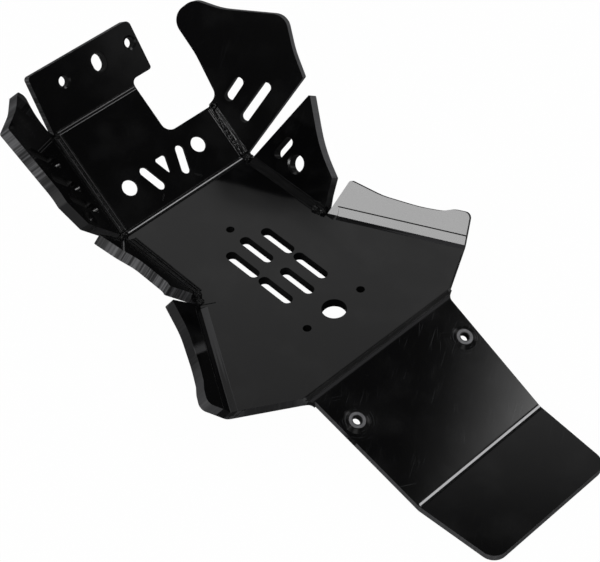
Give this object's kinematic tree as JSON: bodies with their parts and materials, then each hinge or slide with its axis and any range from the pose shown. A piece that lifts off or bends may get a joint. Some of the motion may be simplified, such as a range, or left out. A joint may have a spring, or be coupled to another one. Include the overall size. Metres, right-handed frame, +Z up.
{
  "type": "motorcycle skid plate",
  "caption": "Folded black polyethylene skid plate for an off-road motorcycle: slotted floor, side wings, vented front face with exhaust cut-out, upper flange, sloping tail and end flap.",
  "frame": {"origin": "middle of the slot pattern on the inner (upper) face of the floor", "axes": "+Y towards the bike's front, +X towards the bike's right-hand side, +Z up towards the engine"},
  "size_m": [0.2723, 0.4956, 0.1603],
  "materials": {
    "sheet": "gloss with fine scratches, milled edges"
  },
  "bodies": {
    "root": {"skid_plate": "sheet"}
  },
  "joints": []
}
